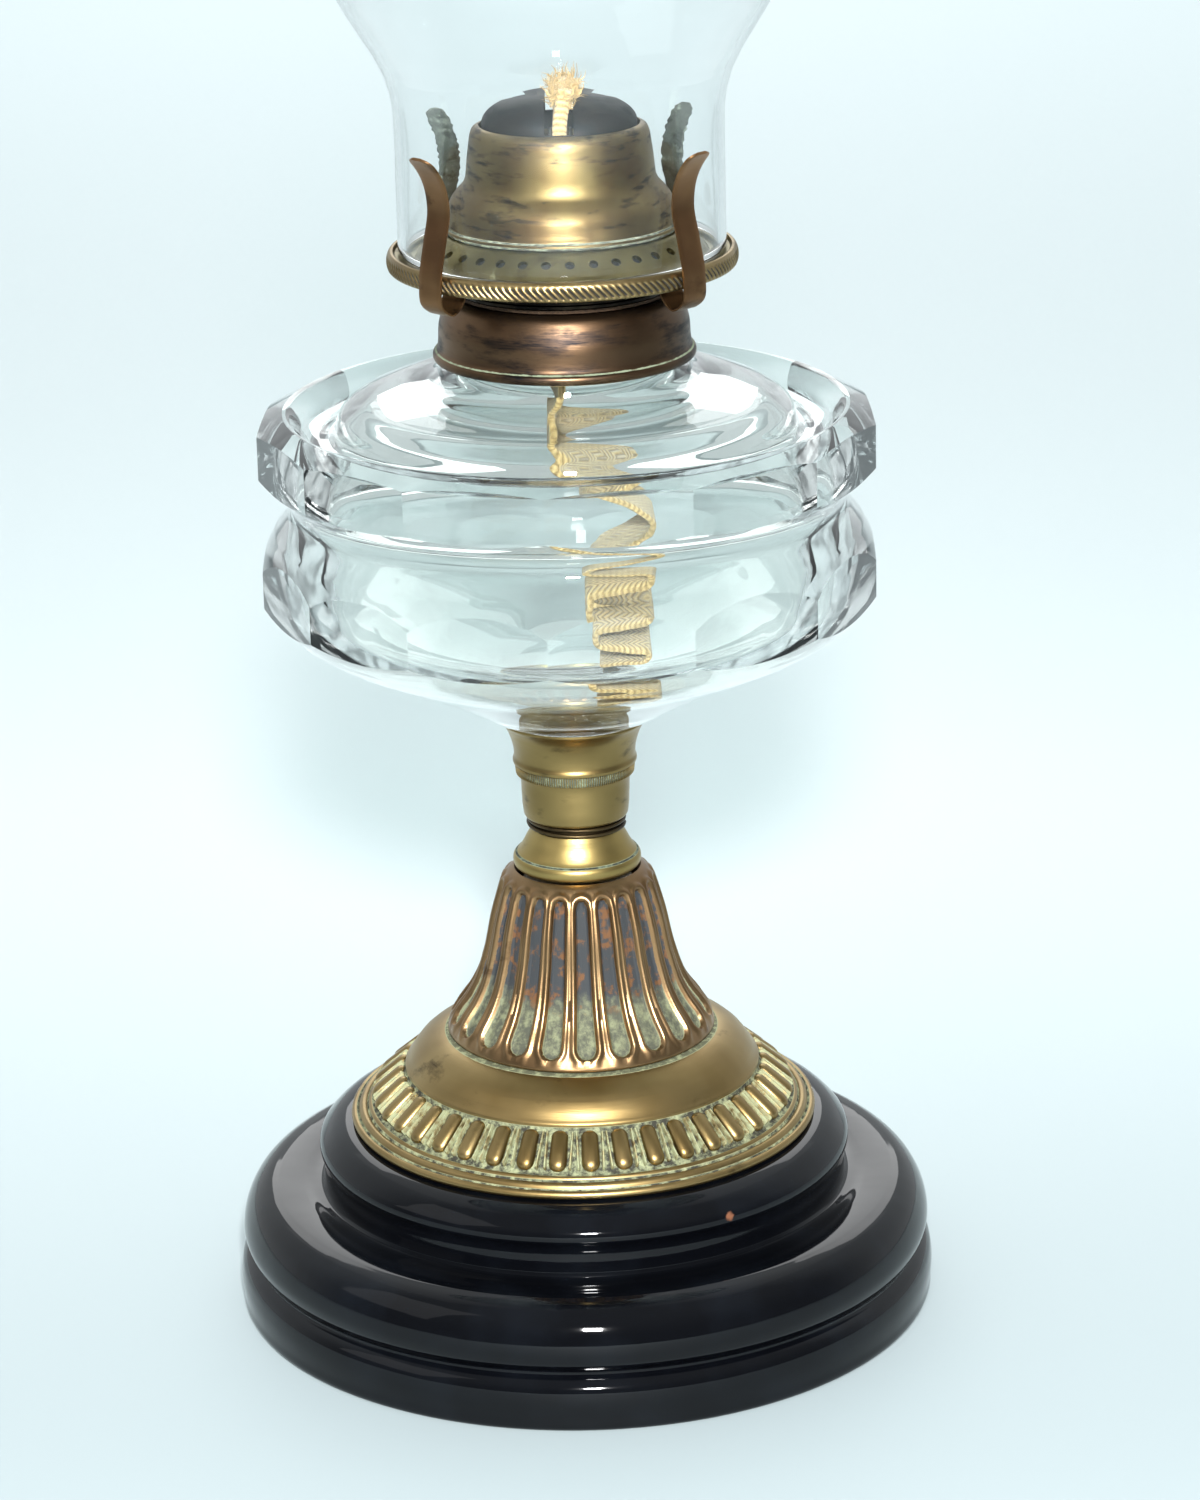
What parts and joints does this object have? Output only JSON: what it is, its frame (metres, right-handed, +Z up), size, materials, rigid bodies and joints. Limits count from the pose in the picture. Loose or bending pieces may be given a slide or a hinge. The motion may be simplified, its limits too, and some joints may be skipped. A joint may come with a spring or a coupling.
{
  "type": "oil lamp",
  "caption": "Table oil lamp: stepped glazed plinth, fluted brass foot, cut glass font with two panelled rings, flat-wick burner with winder, and a clear glass chimney.",
  "frame": {"origin": "centre of the face the plinth stands on", "axes": "+Z up along the lamp's axis, -Y the front, +Y towards the winder knob, +X to the right seen from the front"},
  "size_m": [0.167, 0.167, 0.509],
  "materials": {
    "glazed_ceramic": "black gloss glaze",
    "aged_brass": "pressed and turned brass, dulled and toned brown",
    "dark_brass": "brass toned nearly black by heat and age",
    "steel": "plain turned steel",
    "plaster": "cast plaster of Paris",
    "cut_glass": "clear pressed and cut glass",
    "chimney_glass": "thin clear blown glass",
    "cotton": "woven cotton wick",
    "leather": "leather washer"
  },
  "bodies": {
    "base": {"plinth": "glazed_ceramic", "ogee_foot": "aged_brass", "fluted_bell": "aged_brass", "foot_plaster": "plaster", "knop": "aged_brass", "stem_stud": "dark_brass", "tie_bolt": "steel", "base_washer": "steel", "base_nut": "steel"},
    "seat_washer": {"cup_washer": "leather"},
    "font": {"font_glass": "cut_glass", "font_cup": "aged_brass", "cup_plate": "dark_brass", "cup_plaster": "plaster", "font_collar": "dark_brass", "collar_plaster": "plaster"},
    "gasket": {"collar_gasket": "leather"},
    "burner": {"burner_skirt": "aged_brass", "tube_plate": "aged_brass", "burner_drum": "dark_brass", "gallery_plate": "aged_brass", "gallery_ring": "aged_brass", "wick_tube": "dark_brass", "spindle_bracket": "aged_brass", "spindle_bush": "aged_brass"},
    "winder": {"spindle": "steel", "wick_wheel_front": "aged_brass", "wick_wheel_back": "aged_brass", "winder_knob": "aged_brass"},
    "wick": {"wick": "cotton", "wick_tail": "cotton"},
    "cone": {"cone_shell": "aged_brass", "dome": "dark_brass"},
    "prong_front_right": {"prong_1": "aged_brass"},
    "prong_back_right": {"prong_2": "aged_brass"},
    "prong_back_left": {"prong_3": "aged_brass"},
    "prong_front_left": {"prong_4": "aged_brass"},
    "chimney": {"chimney": "chimney_glass"}
  },
  "joints": [
    {"name": "font_rise", "type": "slide", "parent": "base", "child": "seat_washer", "axis": [0, 0, 1], "range_m": [0, 0.00421]},
    {"name": "font_unscrew", "type": "hinge", "parent": "seat_washer", "child": "font", "pos_m": [0, 0, 0.125], "axis": [0, 0, 1], "range_deg": [0, 1080]},
    {"name": "burner_rise", "type": "slide", "parent": "font", "child": "gasket", "axis": [0, 0, 1], "range_m": [0, 0.00451]},
    {"name": "burner_unscrew", "type": "hinge", "parent": "gasket", "child": "burner", "pos_m": [0, 0, 0.24], "axis": [0, 0, 1], "range_deg": [0, 1080]},
    {"name": "winder_turn", "type": "hinge", "parent": "burner", "child": "winder", "pos_m": [0.007, 0, 0.2497], "axis": [0, 1, 0], "range_deg": [-138, 92]},
    {"name": "wick_slide", "type": "slide", "parent": "burner", "child": "wick", "axis": [0, 0, 1], "range_m": [-0.012, 0.008], "deforming": ["wick_tail"]},
    {"name": "cone_lift", "type": "slide", "parent": "burner", "child": "cone", "axis": [0, 0, 1], "range_m": [0, 0.03]},
    {"name": "prong_front_right_flex", "type": "hinge", "parent": "burner", "child": "prong_front_right", "pos_m": [0.0268, -0.0268, 0.2493], "axis": [0.7071, 0.7071, 0], "range_deg": [0, 7], "stiffness_Nm_per_rad": 0.2},
    {"name": "prong_back_right_flex", "type": "hinge", "parent": "burner", "child": "prong_back_right", "pos_m": [0.0268, 0.0268, 0.2493], "axis": [-0.7071, 0.7071, 0], "range_deg": [0, 7], "stiffness_Nm_per_rad": 0.2},
    {"name": "prong_back_left_flex", "type": "hinge", "parent": "burner", "child": "prong_back_left", "pos_m": [-0.0268, 0.0268, 0.2493], "axis": [-0.7071, -0.7071, 0], "range_deg": [0, 7], "stiffness_Nm_per_rad": 0.2},
    {"name": "prong_front_left_flex", "type": "hinge", "parent": "burner", "child": "prong_front_left", "pos_m": [-0.0268, -0.0268, 0.2493], "axis": [0.7071, -0.7071, 0], "range_deg": [0, 7], "stiffness_Nm_per_rad": 0.2},
    {"name": "chimney_lift", "type": "slide", "parent": "burner", "child": "chimney", "axis": [0, 0, 1], "range_m": [0, 0.08]}
  ],
  "couplings": [
    {"joint": "font_rise", "follows": "font_unscrew", "m_per_rad": 0.00022282},
    {"joint": "burner_rise", "follows": "burner_unscrew", "m_per_rad": 0.00023873},
    {"joint": "winder_turn", "follows": "wick_slide", "rad_per_m": 200}
  ]
}
